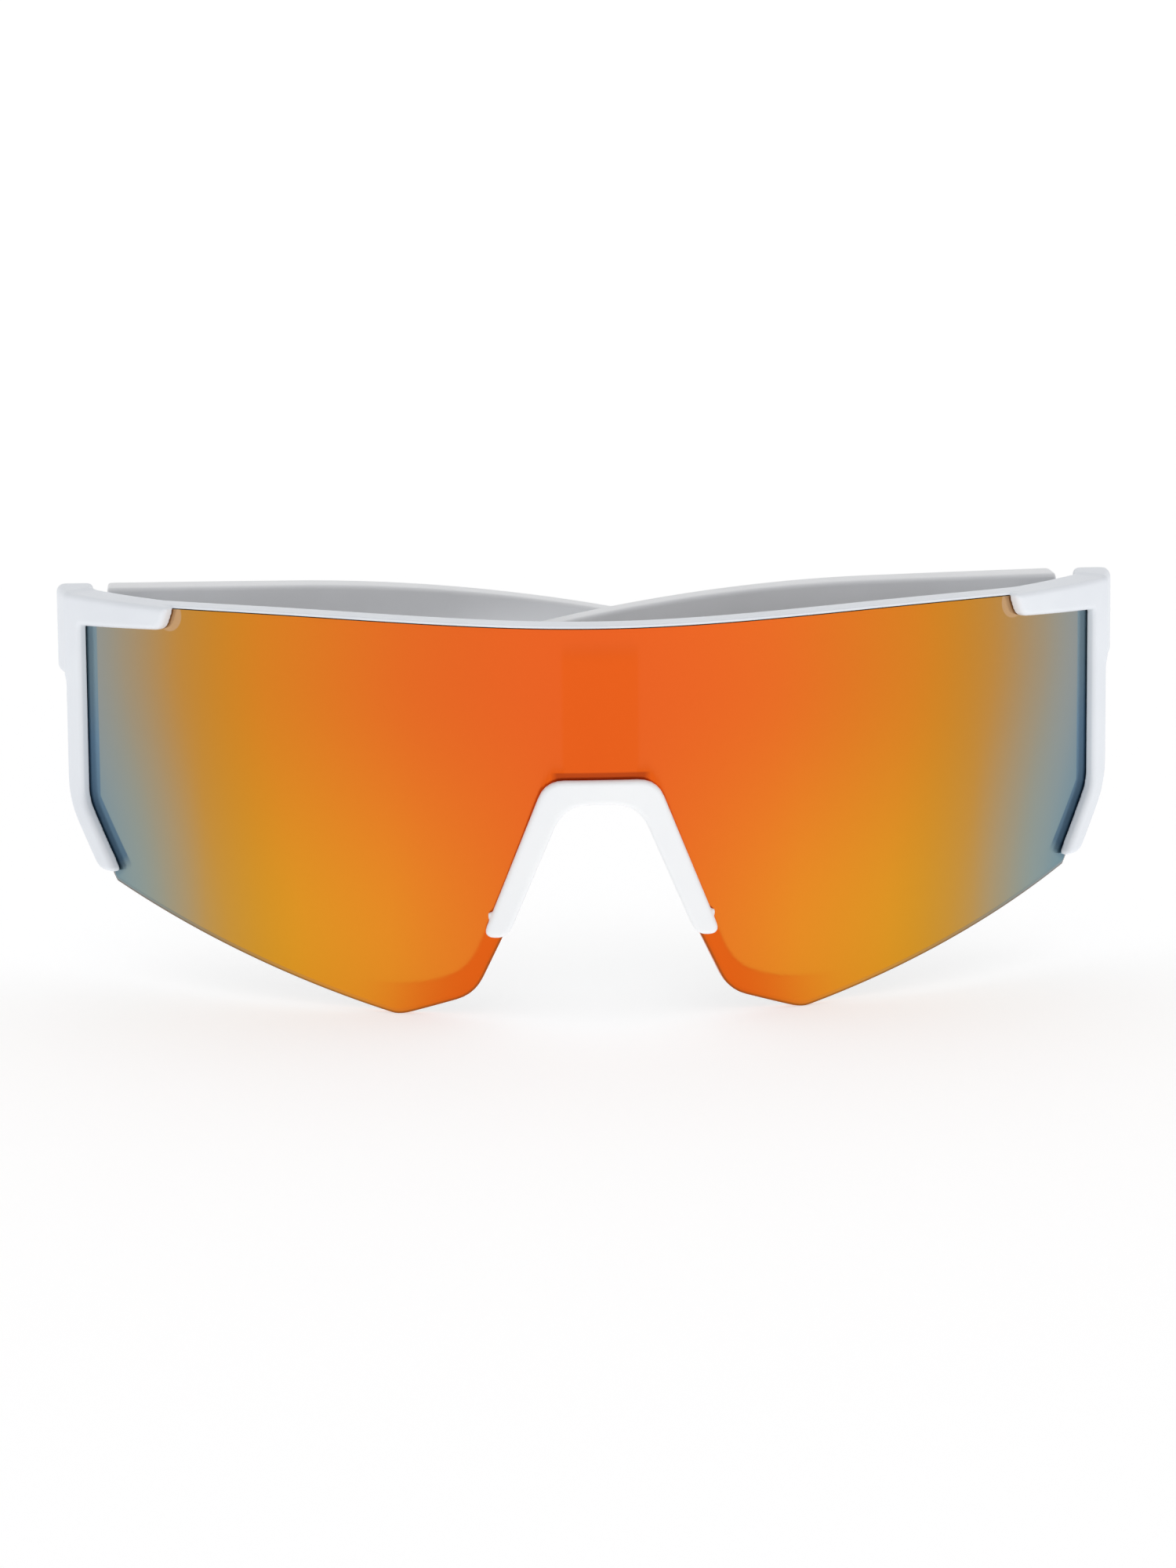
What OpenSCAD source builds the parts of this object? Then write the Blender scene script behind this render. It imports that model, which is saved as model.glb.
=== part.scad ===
// Shield sunglasses, folded: one mirrored lens, a white moulded front with a clip-on nose
// piece, and two arms on small barrel hinges. +Z is up as worn and the front faces -Y.
// The origin is the nose saddle: the middle of the arch that sits on the wearer's nose.

/* [Lens] */
// Radius of the lens's front face
lens_r = 88; // [84:1:94]
// Thickness of the lens
lens_t = 1.8; // [1.4:0.1:2.2]
// How far the middle of the lens's front lies ahead of the nose saddle
lens_ahead = 3.2; // [2.6:0.1:4]
// Height of the top edge's middle above the nose saddle
lens_top = 23.9; // [22:0.2:26]
// How far the top edge rises from its middle to its two crests
crest_rise = 0.6; // [0:0.1:1.5]
// Distance of each crest from the middle
crest_x = 37; // [30:1:42]
// How far the top edge falls from its crests to the side bars
shoulder_fall = 2.4; // [2.2:0.1:3]
// Distance of each lower tip from the middle
tip_x = 27.6; // [25:0.2:31]
// Depth of the lower tips below the nose saddle
tip_drop = 30; // [28.6:0.2:33]
// Distance from the middle to the corner where the nose cut-out begins
inner_x = 17.4; // [16.6:0.2:19]
// Depth of that corner below the nose saddle
inner_drop = 26.7; // [24:0.1:28]
// How far inside the side bar's middle the lower edge's outer end lies
outer_in = 5.8; // [4:0.1:7]
// Depth of the lower edge's outer end below the nose saddle
outer_drop = 16.4; // [15.4:0.1:18]
// How far the lower edge bulges below a straight line
edge_sag = 0.85; // [0:0.05:1.5]
// Rounding of the lower tips
tip_round = 1.8; // [0.5:0.1:3]
// Rounding of the corners beside the nose cut-out
inner_round = 2.6; // [1:0.1:4]

/* [Front frame] */
// Angle round the lens's axis from the middle to each side bar, in degrees
bar_turn = 53.6; // [52.4:0.1:54.6]
// Width of the side bars along the lens
bar_w = 3.5; // [3.2:0.1:4.4]
// How far the side bars and their upper arms stand proud of the lens
bumper_t = 1.6; // [1.2:0.1:2.2]
// Depth of the rail behind the lens
rail_t = 1.9; // [1.5:0.1:2.6]
// Height of the rail at the middle
rail_h = 4.6; // [3.5:0.1:6]
// Height of the rail where it meets the side bars
rail_end_h = 8.4; // [6:0.2:10]
// Thickness of the lip that covers the lens's top edge
lip_t = 0.4; // [0.3:0.1:0.8]
// Length of the bumper's upper arm beside the bar
arm_l = 18; // [14:0.2:20]
// Height of the upper arm at its free end
arm_end_h = 3.3; // [2.6:0.1:4]
// Height of the upper arm at the side bar
arm_root_h = 4.2; // [3.4:0.1:5]
// Slant of the upper arm's free end
arm_slant = 1.3; // [0:0.1:2]
// Depth of the side bar's bend below the nose saddle
knee_drop = 5.4; // [3:0.1:8]
// Depth of the side bar's lower end below the nose saddle
bar_drop = 14.8; // [13.6:0.1:16]
// How far the bar's lower end leans in along the lens
bar_lean = 6.9; // [5:0.1:8]
// How far the side bars bite over the lens's side edges
bite = 2.1; // [1.6:0.1:2.6]
// Clearance between the lens and its groove
lens_fit = 0.1; // [0.05:0.05:0.2]

/* [End pieces] */
// How far each end piece stands out past the middle of its side bar
end_out = 2.1; // [1.9:0.1:3]
// How far the end pieces reach back past the fronts of the side bars
end_back = 9.7; // [9:0.1:12]
// Height of the end pieces' tops above the nose saddle
end_top = 23.5; // [23:0.1:25]
// Height of the end pieces
end_h = 12; // [11:0.2:14]
// Rounding of the end pieces' rear corners
end_round = 1.6; // [0.4:0.1:2]

/* [Nose piece] */
// Width of the arch at its top
arch_w = 10; // [9:0.2:11]
// Lean of the legs from upright, in degrees
leg_lean = 23; // [20:0.5:25]
// Width of the legs at their lower ends, measured straight across
leg_w = 3.4; // [3:0.1:3.8]
// Width of the legs where they meet the bridge, measured straight across
leg_top_w = 4; // [3.4:0.1:4.4]
// Depth of the legs' lower ends below the nose saddle
leg_drop = 18.4; // [16:0.2:19]
// Height of the bridge above the saddle
bridge_h = 3.4; // [2.8:0.1:4]
// How far the nose piece stands proud of the lens
nose_t = 1.7; // [1.2:0.1:2.2]
// Thickness of the nose piece's rear flange
nose_back_t = 1.4; // [1:0.1:2]
// Width of the rear flange
nose_back_w = 2.6; // [2:0.1:3.2]
// Room in the lens's nose cut-out for the web that joins the arch to its rear flange
web_t = 0.6; // [0.5:0.05:0.8]
// Rounding of the arch's inner corners
arch_round = 2.2; // [1:0.1:3]
// Rounding of the bridge's outer corners
bridge_round = 2.6; // [1:0.1:3]
// Length and height of the side lugs that snap over the lens
lug = 0.9; // [0.6:0.1:1.2]

/* [Nose pads] */
// Length of a pad along the leg
pad_l = 14.5; // [11:0.5:16]
// Depth of a pad from front to back
pad_d = 9.6; // [8:0.2:11]
// Thickness of a pad
pad_t = 2.8; // [2.4:0.1:3.4]
// Splay of the pads towards the cheeks, in degrees
pad_splay = 24; // [18:1:30]
// Thickness of the fin that carries a pad
fin_t = 1; // [0.8:0.1:1.2]
// Clearance between a pad and its fin
pad_fit = 0.05; // [0.02:0.01:0.1]

/* [Arms] */
// Distance from a folded arm's tip to the other arm's hinge axis
tip_room = 11.6; // [8:0.2:20]
// How far an arm's top lies below the top of its end piece
temple_step = 1.3; // [1:0.1:1.5]
// Height of an arm at its hinge end
temple_h = 10; // [9:0.2:10.4]
// Thickness of an arm at its hinge end
temple_t = 5.2; // [4.8:0.1:5.6]
// Thickness of an arm past its middle
temple_slim_t = 4.2; // [3.6:0.1:4.8]
// Least height of an arm, before its rubber tip
temple_slim_h = 6.8; // [6:0.2:7]
// Drop of the tip below a straight arm
tip_fall = 20; // [19.5:0.5:24]
// Length of the hinge end that stays straight
straight_l = 26; // [20:1:28]
// How far the tip curves in towards the head
tip_in = 4; // [3:0.5:4.5]
// Gap between the end piece and the opened arm
butt_gap = 0.15; // [0.1:0.05:0.25]
// Length of the rubber sleeve on the tip
sleeve_l = 40; // [30:1:46]
// Wall of the rubber sleeve
sleeve_t = 1; // [0.8:0.1:1.2]
// How far the arm nearer the lens is folded past square, in degrees
near_fold = 6.6; // [6.5:0.1:7.5]
// How far the other arm stops short of square, in degrees
far_fold = 0; // [0:0.1:1]

/* [Hinges] */
// How far the hinges' middles lie below the tops of the end pieces
hinge_drop = 7; // [6.6:0.1:7.2]
// Distance from an opened arm's inner face in to its hinge axis
hinge_in = 1.7; // [1.6:0.05:1.9]
// Radius of the knuckles
knuckle_r = 1.5; // [1.3:0.05:1.6]
// Height of the two outer knuckles
knuckle_h = 2.4; // [2:0.1:2.6]
// Height of the middle knuckle
middle_h = 2.6; // [2:0.1:2.8]
// Gap between one knuckle and the next
knuckle_gap = 0.1; // [0.05:0.05:0.2]
// Radius of the hinge screw
screw_r = 0.7; // [0.5:0.05:0.8]
// Radius of the screw's head
head_r = 1.25; // [1.1:0.05:1.3]
// Height of the screw's head
head_h = 0.7; // [0.5:0.1:0.9]
// Running clearance around the screw
screw_fit = 0.04; // [0.02:0.01:0.08]
// Thickness of a hinge leaf
leaf_t = 1; // [0.8:0.05:1.1]
// Length of a hinge leaf from the axis
leaf_l = 5.6; // [4.6:0.1:6.4]
// How deep the leaves are let into the mouldings
leaf_inset = 0.3; // [0.2:0.05:0.5]
// Radius of the anchors that hold a leaf in the moulding
anchor_r = 0.7; // [0.5:0.05:0.8]
// Length of the anchors
anchor_l = 1.8; // [1.2:0.1:2.2]

/* [Hidden] */
$fn = 96;
// Overrun of every cut
over = 1;
// Share of a pad's length and depth that its fin reaches
fin_share = 0.6;
// Share of an arm's length after which it turns in
turn_in_share = 0.65;
// Share of a leaf's length at which its anchors sit
anchor_share = 0.6;
// Steps along the long curves, around the small roundings and around the lens's tube
curve_steps = 20;
round_steps = 5;
tube_steps = 360;

// The lens is a slice of a tube that stands on a vertical axis behind the nose
axis_y = lens_r - lens_ahead;
back_r = lens_r - lens_t;
groove_back_r = back_r - lens_fit;
rail_back_r = groove_back_r - rail_t;
lip_front_r = lens_r - lens_fit;
bumper_r = lens_r + bumper_t;
nose_front_r = lens_r + nose_t;
nose_seat_r = lens_r + lens_fit;
nose_back_r = groove_back_r - nose_back_t;
all_top = lens_top + crest_rise + lip_t + over;
all_drop = tip_drop + over;

// The side bars and the lens's side edges are drawn square to the lens where they sit
bar_x = bumper_r * sin(bar_turn);
bar_y = axis_y - bumper_r * cos(bar_turn);
bar_half = bar_w / 2;
outer_x = bar_x - outer_in;
end_x = bar_x + end_out;
end_y = bar_y + end_back;
lean_slope = bar_lean / (bar_drop - knee_drop);
edge_u = bite - bar_half;
edge_knee = knee_drop + bite / 2;
arm_end_x = bar_x - (bar_half + arm_l) * cos(bar_turn - arm_l / 2 / lens_r * 180 / PI);
bar_top = lens_top_at(arm_end_x) + lip_t + lens_fit;
bar_outer_knee = knee_drop + bite / 4;

// Height of the top edge: it rises from its middle to the crests and falls beyond them
function lens_top_at(x) =
    abs(x) < crest_x ? lens_top + crest_rise * pow(sin(90 * x / crest_x), 2)
                     : lens_top + crest_rise
                       - shoulder_fall * pow((abs(x) - crest_x) / (bar_x - crest_x), 2);
function rail_h_at(x) = rail_h + (rail_end_h - rail_h) * pow(x / bar_x, 2);
function mix(a, b, s) = a * (1 - s) + b * s;

// Corner p between its neighbours a and b, rounded from a distance d before it to d after it
function bend(a, p, b, d) =
    let (da = min(d, norm(a - p) / 2),
         db = min(d, norm(b - p) / 2),
         from = p + (a - p) * da / norm(a - p),
         to = p + (b - p) * db / norm(b - p))
    [for (i = [0:round_steps]) let (s = i / round_steps) mix(mix(from, p, s), mix(p, to, s), s)];

// A closed outline of [x, y, rounding] corners
function soft(q) =
    [for (i = [0:len(q) - 1])
        let (p = [q[i][0], q[i][1]],
             a = q[(i + len(q) - 1) % len(q)],
             b = q[(i + 1) % len(q)])
        each (q[i][2] == 0 ? [p] : bend([a[0], a[1]], p, [b[0], b[1]], q[i][2]))];

function flipped(q) = [for (i = [len(q) - 1:-1:0]) [-q[i][0], q[i][1], q[i][2]]];

// Nose arch: half its inner width at a depth below the saddle
function arch_at(drop) = arch_w / 2 + drop * tan(leg_lean);

module tube(r_in, r_out, low, high) {
    translate([0, axis_y, low])
        difference() {
            cylinder(r = r_out, h = high - low, $fn = tube_steps);
            translate([0, 0, -over])
                cylinder(r = r_in, h = high - low + 2 * over, $fn = tube_steps);
        }
}

// An outline of front-view points, pushed back far enough to cross the whole lens
module from_front(points) {
    translate([0, axis_y, 0])
        rotate([90, 0, 0])
            linear_extrude(height = lens_r + 2 * nose_t)
                polygon(points);
}

// The same for the right side bar, square to the lens there; x is measured along the lens
module from_side(points) {
    translate([0, axis_y, 0])
        rotate([90, 0, bar_turn])
            linear_extrude(height = lens_r + 2 * bumper_t)
                polygon(points);
}

module on_both_sides() {
    children();
    mirror([1, 0, 0])
        children();
}

function lens_outline() =
    let (top = [for (i = [0:curve_steps]) let (x = end_x * i / curve_steps) [x, lens_top_at(x), 0]],
         reach = (end_x - tip_x) / (outer_x - tip_x),
         edge = [for (i = [curve_steps:-1:1])
                    let (s = reach * i / curve_steps)
                    [mix(tip_x, outer_x, s),
                     mix(-tip_drop, -outer_drop, s) - 4 * edge_sag * s * (1 - s), 0]],
         cut_x = arch_at(leg_drop) + web_t,
         low = [[tip_x, -tip_drop, tip_round],
                [inner_x, -inner_drop, inner_round],
                [cut_x, -leg_drop, 0],
                [arch_at(0) + web_t - web_t * tan(leg_lean), web_t, arch_round]],
         half = concat(top, edge, low))
    soft(concat(half, flipped(half)));

// What lies beyond the lens's right side edge, grown by a clearance
function beyond_side(grow) =
    let (u = edge_u + grow,
         far = bar_lean + 2 * bar_w,
         low = edge_knee + (u + far) / lean_slope)
    [[u, all_top], [u, -edge_knee], [u - (all_drop - edge_knee) * lean_slope, -all_drop],
     [far, -all_drop], [far, all_top]];

module shield_lens() {
    color("darkorange")
        difference() {
            intersection() {
                tube(back_r, lens_r, -all_drop, all_top);
                from_front(lens_outline());
            }
            on_both_sides()
                from_side(beyond_side(0));
        }
}

function bumper_outline() =
    let (arm_u = -bar_half - arm_l,
         low_in = -bar_half - bar_lean,
         low_out = bar_half - bar_lean)
    soft([[arm_u, bar_top, arm_slant / 3],
          [bar_half, end_top, 0],
          [bar_half, -bar_outer_knee, bar_w],
          [low_out, -bar_drop, bar_w / 3],
          [low_in, -bar_drop, bar_w / 4],
          [-bar_half, -knee_drop, bar_w / 2],
          [-bar_half, end_top - arm_root_h, bar_w / 9],
          [arm_u + arm_slant, bar_top - arm_end_h, arm_end_h / 3]]);

module bumper() {
    intersection() {
        tube(rail_back_r, bumper_r, -bar_drop - over, bar_top + over);
        from_side(bumper_outline());
    }
}

// Room for the lens: behind the bumpers, in front of the rail and under its lip
module lens_slot() {
    top = [for (i = [-curve_steps:curve_steps])
              let (x = end_x * i / curve_steps) [x, lens_top_at(x) + lens_fit]];
    difference() {
        intersection() {
            tube(groove_back_r, nose_seat_r, -all_drop, all_top);
            from_front(concat(top, [[end_x, -all_drop], [-end_x, -all_drop]]));
        }
        on_both_sides()
            from_side(beyond_side(lens_fit));
    }
}

module rail() {
    reach = back_r * sin(bar_turn) - bar_half;
    steps = [for (i = [-curve_steps:curve_steps]) reach * i / curve_steps];
    top = [for (x = steps) [x, lens_top_at(x) + lens_fit + lip_t]];
    low = [for (i = [2 * curve_steps:-1:0]) [steps[i], lens_top_at(steps[i]) - rail_h_at(steps[i])]];
    intersection() {
        tube(rail_back_r, lip_front_r, 0, all_top);
        from_front(concat(top, low));
    }
}

// A place in the plan, at a radius and a distance along the lens from the right bar's middle
function beside_bar(r, u) =
    [r * sin(bar_turn) + u * cos(bar_turn), axis_y - r * cos(bar_turn) + u * sin(bar_turn)];

// Right end piece: from the bar's outer side, clear of the lens slot, back to its rear face
module end_piece() {
    root = bumper_t / 4;
    front = beside_bar(bumper_r - root, bar_half - root);
    inner = beside_bar(groove_back_r - rail_t / 2, (edge_u + lens_fit + bar_half) / 2);
    translate([0, 0, end_top - end_h])
        linear_extrude(height = end_h)
            polygon(soft([[front[0], front[1], 0],
                          [end_x - end_round / 8, (front[1] + end_y) / 2, end_round],
                          [end_x, end_y, end_round],
                          [end_x - temple_t, end_y, 0],
                          [inner[0], inner[1], 0]]));
}

module front_frame() {
    color("white")
        difference() {
            union() {
                rail();
                on_both_sides()
                    bumper();
                on_both_sides()
                    end_piece();
            }
            lens_slot();
            on_both_sides()
                leaf_pocket();
        }
}

function nose_outline() =
    let (half = [[arch_at(-bridge_h) + leg_top_w, bridge_h, bridge_round],
                 [arch_at(leg_drop) + leg_w, -leg_drop, leg_w / 2],
                 [arch_at(leg_drop), -leg_drop, leg_w / 4],
                 [arch_at(0), 0, arch_round]])
    soft(concat(half, flipped(half)));

// A ring along the arch, between two distances from its inner edge and down to a depth
function ring_outline(near, far, low) =
    let (half = [[arch_at(-far) + far, far, arch_round],
                 [arch_at(low) + far, -low, (far - near) / 4],
                 [arch_at(low) + near, -low, (far - near) / 4],
                 [arch_at(-near) + near, near, arch_round]])
    soft(concat(half, flipped(half)));

// Lug on the leg's outer side, that snaps over the front of the lens
module side_lug() {
    drop = leg_drop - leg_w;
    x = arch_at(drop) + leg_w;
    intersection() {
        tube(nose_seat_r + lens_fit, lens_r + nose_t / 2, -leg_drop, 0);
        from_front([[x - lug, -drop], [x + lug * 2 / 3, -drop],
                    [x + lug * 2 / 3, -drop - lug], [x - lug, -drop - lug]]);
    }
}

// Place of the right pad: at the middle of its leg, turned along it and splayed to the rear
module on_leg() {
    drop = (leg_drop - bridge_h / 2) / 2 + bridge_h / 2;
    translate([arch_at(drop) + nose_back_w / 2, axis_y - nose_back_r, -drop])
        rotate([0, -leg_lean, 0])
            rotate([0, 0, -pad_splay])
                children();
}

module fin(grow) {
    w = fin_t + 2 * grow;
    h = fin_share * pad_l + 2 * grow;
    d = nose_back_t + fin_share * pad_d + grow;
    translate([-w / 2, 0, -h / 2])
        cube([w, d, h]);
}

module nose_bridge() {
    color("white") {
        intersection() {
            tube(nose_seat_r, nose_front_r, -all_drop, all_top);
            from_front(nose_outline());
        }
        intersection() {
            tube(nose_back_r + web_t, nose_seat_r + web_t, -all_drop, all_top);
            from_front(ring_outline(lens_fit, web_t - lens_fit, leg_drop - leg_w / 2));
        }
        intersection() {
            tube(nose_back_r, groove_back_r, -all_drop, all_top);
            from_front(ring_outline(0, nose_back_w, leg_drop));
        }
        on_both_sides() {
            side_lug();
            on_leg()
                fin(0);
        }
    }
}

module nose_pad() {
    front = nose_back_t;
    back = nose_back_t + pad_d;
    top = pad_l / 2;
    half_t = pad_t / 2;
    color("whitesmoke")
        on_leg()
            difference() {
                intersection() {
                    translate([-pad_t, 0, 0])
                        rotate([90, 0, 90])
                            linear_extrude(height = 2 * pad_t)
                                polygon(soft([[front, -top, half_t], [back, -top, pad_t],
                                              [back, top, pad_t], [front, top, half_t]]));
                    translate([0, 0, -pad_l])
                        linear_extrude(height = 2 * pad_l)
                            polygon(soft([[-half_t, front, half_t], [half_t, front, half_t],
                                          [half_t, back, half_t], [-half_t, back, half_t]]));
                }
                fin(pad_fit);
            }
}

module nose_pad_right() {
    nose_pad();
}

module nose_pad_left() {
    mirror([1, 0, 0])
        nose_pad();
}

// Shape of the right arm when it is open, with s the distance from its hinge end
temple_top = end_top - temple_step;
root_y = end_y + butt_gap;
in_face_x = end_x - temple_t;
hinge_x = in_face_x - hinge_in;
temple_l = 2 * hinge_x - tip_room;

function fall_at(s) = tip_fall * pow(max(s - straight_l, 0) / (temple_l - straight_l), 2);
function slim_at(s) = let (q = min(s / (temple_l / 2), 1)) q * q * (3 - 2 * q);
function thick_at(s) = mix(temple_t, temple_slim_t, slim_at(s));
function height_at(s) = mix(temple_h, temple_slim_h, slim_at(s));
function turn_in_at(s) =
    let (from = temple_l * turn_in_share) tip_in * pow(max(s - from, 0) / (temple_l - from), 2);

// Side view from s = a to s = b, shrunk by a margin, with rounded ends where wanted
function side_view(a, b, m, end_round) =
    let (steps = [for (i = [0:curve_steps]) mix(a, b, i / curve_steps)],
         top = [for (s = steps) [s, temple_top - fall_at(s) - m, 0]],
         low = [for (i = [curve_steps:-1:0]) let (s = steps[i])
                   [s, temple_top - fall_at(s) - height_at(s) + m, 0]],
         n = len(top) - 1)
    soft([for (i = [0:2 * n + 1])
            let (p = i <= n ? top[i] : low[i - n - 1])
            [p[0], p[1], (i == n || i == n + 1) ? end_round : 0]]);

function plan_view(a, b, m) =
    let (steps = [for (i = [0:curve_steps]) mix(a, b, i / curve_steps)])
    concat([for (s = steps) [in_face_x - turn_in_at(s) + m, root_y + s]],
           [for (i = [curve_steps:-1:0]) let (s = steps[i])
               [in_face_x - turn_in_at(s) + thick_at(s) - m, root_y + s]]);

module arm_piece(a, b, m, end_round) {
    intersection() {
        translate([0, 0, temple_top - tip_fall - 2 * temple_h])
            linear_extrude(height = tip_fall + 3 * temple_h)
                polygon(plan_view(a, b, m));
        translate([end_x - 2 * temple_t - 2 * tip_in, root_y, 0])
            rotate([90, 0, 90])
                linear_extrude(height = 4 * temple_t + 2 * tip_in)
                    polygon(side_view(a, b, m, end_round));
    }
}

sleeve_from = temple_l - sleeve_l;
core_to = temple_l - sleeve_l / 6;

// Stands an opened right arm's piece in its folded place, on the right or on the left
module folded(left) {
    if (left)
        mirror([1, 0, 0])
            swung(90 - far_fold)
                children();
    else
        swung(90 + near_fold)
            children();
}

module swung(angle) {
    translate([hinge_x, end_y, 0])
        rotate([0, 0, angle])
            translate([-hinge_x, -end_y, 0])
                children();
}

module temple_arm() {
    color("white")
        difference() {
            union() {
                arm_piece(0, sleeve_from, 0, 0);
                arm_piece(sleeve_from - over, core_to, sleeve_t, temple_slim_h / 4);
            }
            translate([0, 2 * end_y, 0])
                mirror([0, 1, 0])
                    leaf_pocket();
        }
}

module ear_sleeve() {
    color("gainsboro")
        difference() {
            arm_piece(sleeve_from + pad_fit, temple_l, 0, temple_slim_h / 2);
            arm_piece(sleeve_from - over, core_to + pad_fit, sleeve_t - pad_fit, temple_slim_h / 4);
        }
}

module temple_arm_right() {
    folded(false)
        temple_arm();
}

module temple_arm_left() {
    folded(true)
        temple_arm();
}

module ear_sleeve_right() {
    folded(false)
        ear_sleeve();
}

module ear_sleeve_left() {
    folded(true)
        ear_sleeve();
}

// Hinge: two outer knuckles on the front leaf, one between them on the arm's leaf
hinge_h = 2 * knuckle_h + middle_h + 2 * knuckle_gap;
hinge_low = end_top - hinge_drop - hinge_h / 2;
middle_low = hinge_low + knuckle_h + knuckle_gap;
upper_low = middle_low + middle_h + knuckle_gap;
leaf_out_x = in_face_x + leaf_inset;
leaf_in_x = leaf_out_x - leaf_t;
room_x = hinge_x - 2 * knuckle_r;

// Room in the end piece for the front leaf and its anchors
module leaf_pocket() {
    translate([in_face_x - over, end_y - leaf_l - pad_fit, hinge_low - pad_fit])
        cube([over + leaf_inset, leaf_l + pad_fit + over, hinge_h + 2 * pad_fit]);
    translate([room_x, end_y - leaf_l - pad_fit, hinge_low - pad_fit])
        cube([in_face_x - room_x, leaf_l + pad_fit + over, hinge_h + 2 * pad_fit]);
    anchors();
}

module anchors() {
    for (z = [hinge_low + hinge_h / 4, hinge_low + hinge_h * 3 / 4])
        translate([leaf_out_x - leaf_t / 2, end_y - leaf_l * anchor_share, z])
            rotate([0, 90, 0])
                cylinder(r = anchor_r, h = leaf_t / 2 + anchor_l);
}

module knuckle(low, h) {
    translate([hinge_x, end_y, low])
        cylinder(r = knuckle_r, h = h);
}

module turning_room(low, h) {
    translate([hinge_x, end_y, low - knuckle_gap])
        cylinder(r = knuckle_r + knuckle_gap, h = h + 2 * knuckle_gap);
}

module leaf_plate() {
    translate([leaf_in_x, end_y - leaf_l, hinge_low])
        cube([leaf_t, leaf_l, hinge_h]);
}

module screw_bore() {
    translate([hinge_x, end_y, hinge_low - over])
        cylinder(r = screw_r + screw_fit, h = hinge_h + 2 * over);
}

module hinge_front() {
    color("silver")
        difference() {
            union() {
                difference() {
                    leaf_plate();
                    turning_room(middle_low, middle_h);
                }
                knuckle(hinge_low, knuckle_h);
                knuckle(upper_low, knuckle_h);
                anchors();
            }
            screw_bore();
        }
}

module hinge_arm() {
    color("silver")
        difference() {
            union() {
                translate([0, 2 * end_y, 0])
                    mirror([0, 1, 0])
                        difference() {
                            leaf_plate();
                            turning_room(hinge_low, knuckle_h);
                            turning_room(upper_low, knuckle_h);
                        }
                translate([0, 2 * end_y, 0])
                    mirror([0, 1, 0])
                        anchors();
                knuckle(middle_low, middle_h);
            }
            screw_bore();
        }
}

module hinge_screw() {
    top = hinge_low + hinge_h;
    slot_w = head_r / 4;
    color("dimgray")
        difference() {
            union() {
                translate([hinge_x, end_y, hinge_low + screw_r / 2])
                    cylinder(r = screw_r, h = hinge_h - screw_r / 2);
                translate([hinge_x, end_y, top])
                    cylinder(r = head_r, h = head_h);
            }
            translate([hinge_x - head_r - over, end_y - slot_w / 2, top + head_h / 2])
                cube([2 * (head_r + over), slot_w, head_h]);
        }
}

module hinge_front_right() {
    hinge_front();
}

module hinge_front_left() {
    mirror([1, 0, 0])
        hinge_front();
}

module hinge_arm_right() {
    folded(false)
        hinge_arm();
}

module hinge_arm_left() {
    folded(true)
        hinge_arm();
}

module hinge_screw_right() {
    hinge_screw();
}

module hinge_screw_left() {
    mirror([1, 0, 0])
        hinge_screw();
}

front_frame();
shield_lens();
nose_bridge();
nose_pad_left();
nose_pad_right();
temple_arm_left();
temple_arm_right();
ear_sleeve_left();
ear_sleeve_right();
hinge_front_left();
hinge_front_right();
hinge_arm_left();
hinge_arm_right();
hinge_screw_left();
hinge_screw_right();
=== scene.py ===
"""Shield sunglasses with folded arms: a mirrored one-piece lens in a white moulded frame.

Sizes are millimetres in the part's own frame until mesh_piece() turns them into metres. The lens
is a slice of a tube round an upright axis behind the nose. What follows it is placed by a radius
from that axis, and near the right bar by (along, up) on the bar's plane, which touches the tube
at the bar's middle.
"""
import math

import bpy
import numpy as np
from mathutils import Matrix, Vector


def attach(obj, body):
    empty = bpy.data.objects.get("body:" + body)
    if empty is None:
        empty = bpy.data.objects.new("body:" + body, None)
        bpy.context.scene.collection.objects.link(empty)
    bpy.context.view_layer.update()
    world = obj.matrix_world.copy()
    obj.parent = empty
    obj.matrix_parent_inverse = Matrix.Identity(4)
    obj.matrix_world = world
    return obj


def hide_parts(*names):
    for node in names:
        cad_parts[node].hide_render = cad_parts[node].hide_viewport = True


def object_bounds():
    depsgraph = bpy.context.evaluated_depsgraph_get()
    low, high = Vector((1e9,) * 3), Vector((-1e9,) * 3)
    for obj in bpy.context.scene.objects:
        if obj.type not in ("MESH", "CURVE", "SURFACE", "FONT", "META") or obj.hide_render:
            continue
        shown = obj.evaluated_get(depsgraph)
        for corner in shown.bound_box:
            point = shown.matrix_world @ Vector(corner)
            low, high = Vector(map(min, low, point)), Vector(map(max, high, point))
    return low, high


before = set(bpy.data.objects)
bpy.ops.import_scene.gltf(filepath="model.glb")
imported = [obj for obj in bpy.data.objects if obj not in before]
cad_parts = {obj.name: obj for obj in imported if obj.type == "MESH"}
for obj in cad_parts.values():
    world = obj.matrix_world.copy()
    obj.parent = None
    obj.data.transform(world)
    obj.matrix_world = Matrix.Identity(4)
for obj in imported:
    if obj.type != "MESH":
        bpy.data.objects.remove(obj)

cad_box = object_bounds()
MM = 0.001

# The tube's axis, and radii from it: lens, the groove that holds it, rail, bumpers, nose piece
AXIS_Y = 84.8
LENS_R = 88.0
BACK_R = 86.2
GROOVE_R = 86.1
SEAT_R = 88.1
RAIL_R = 84.2
BUMPER_R = 89.6
NOSE_R = 89.7
NOSE_BACK_R = 84.7

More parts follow.
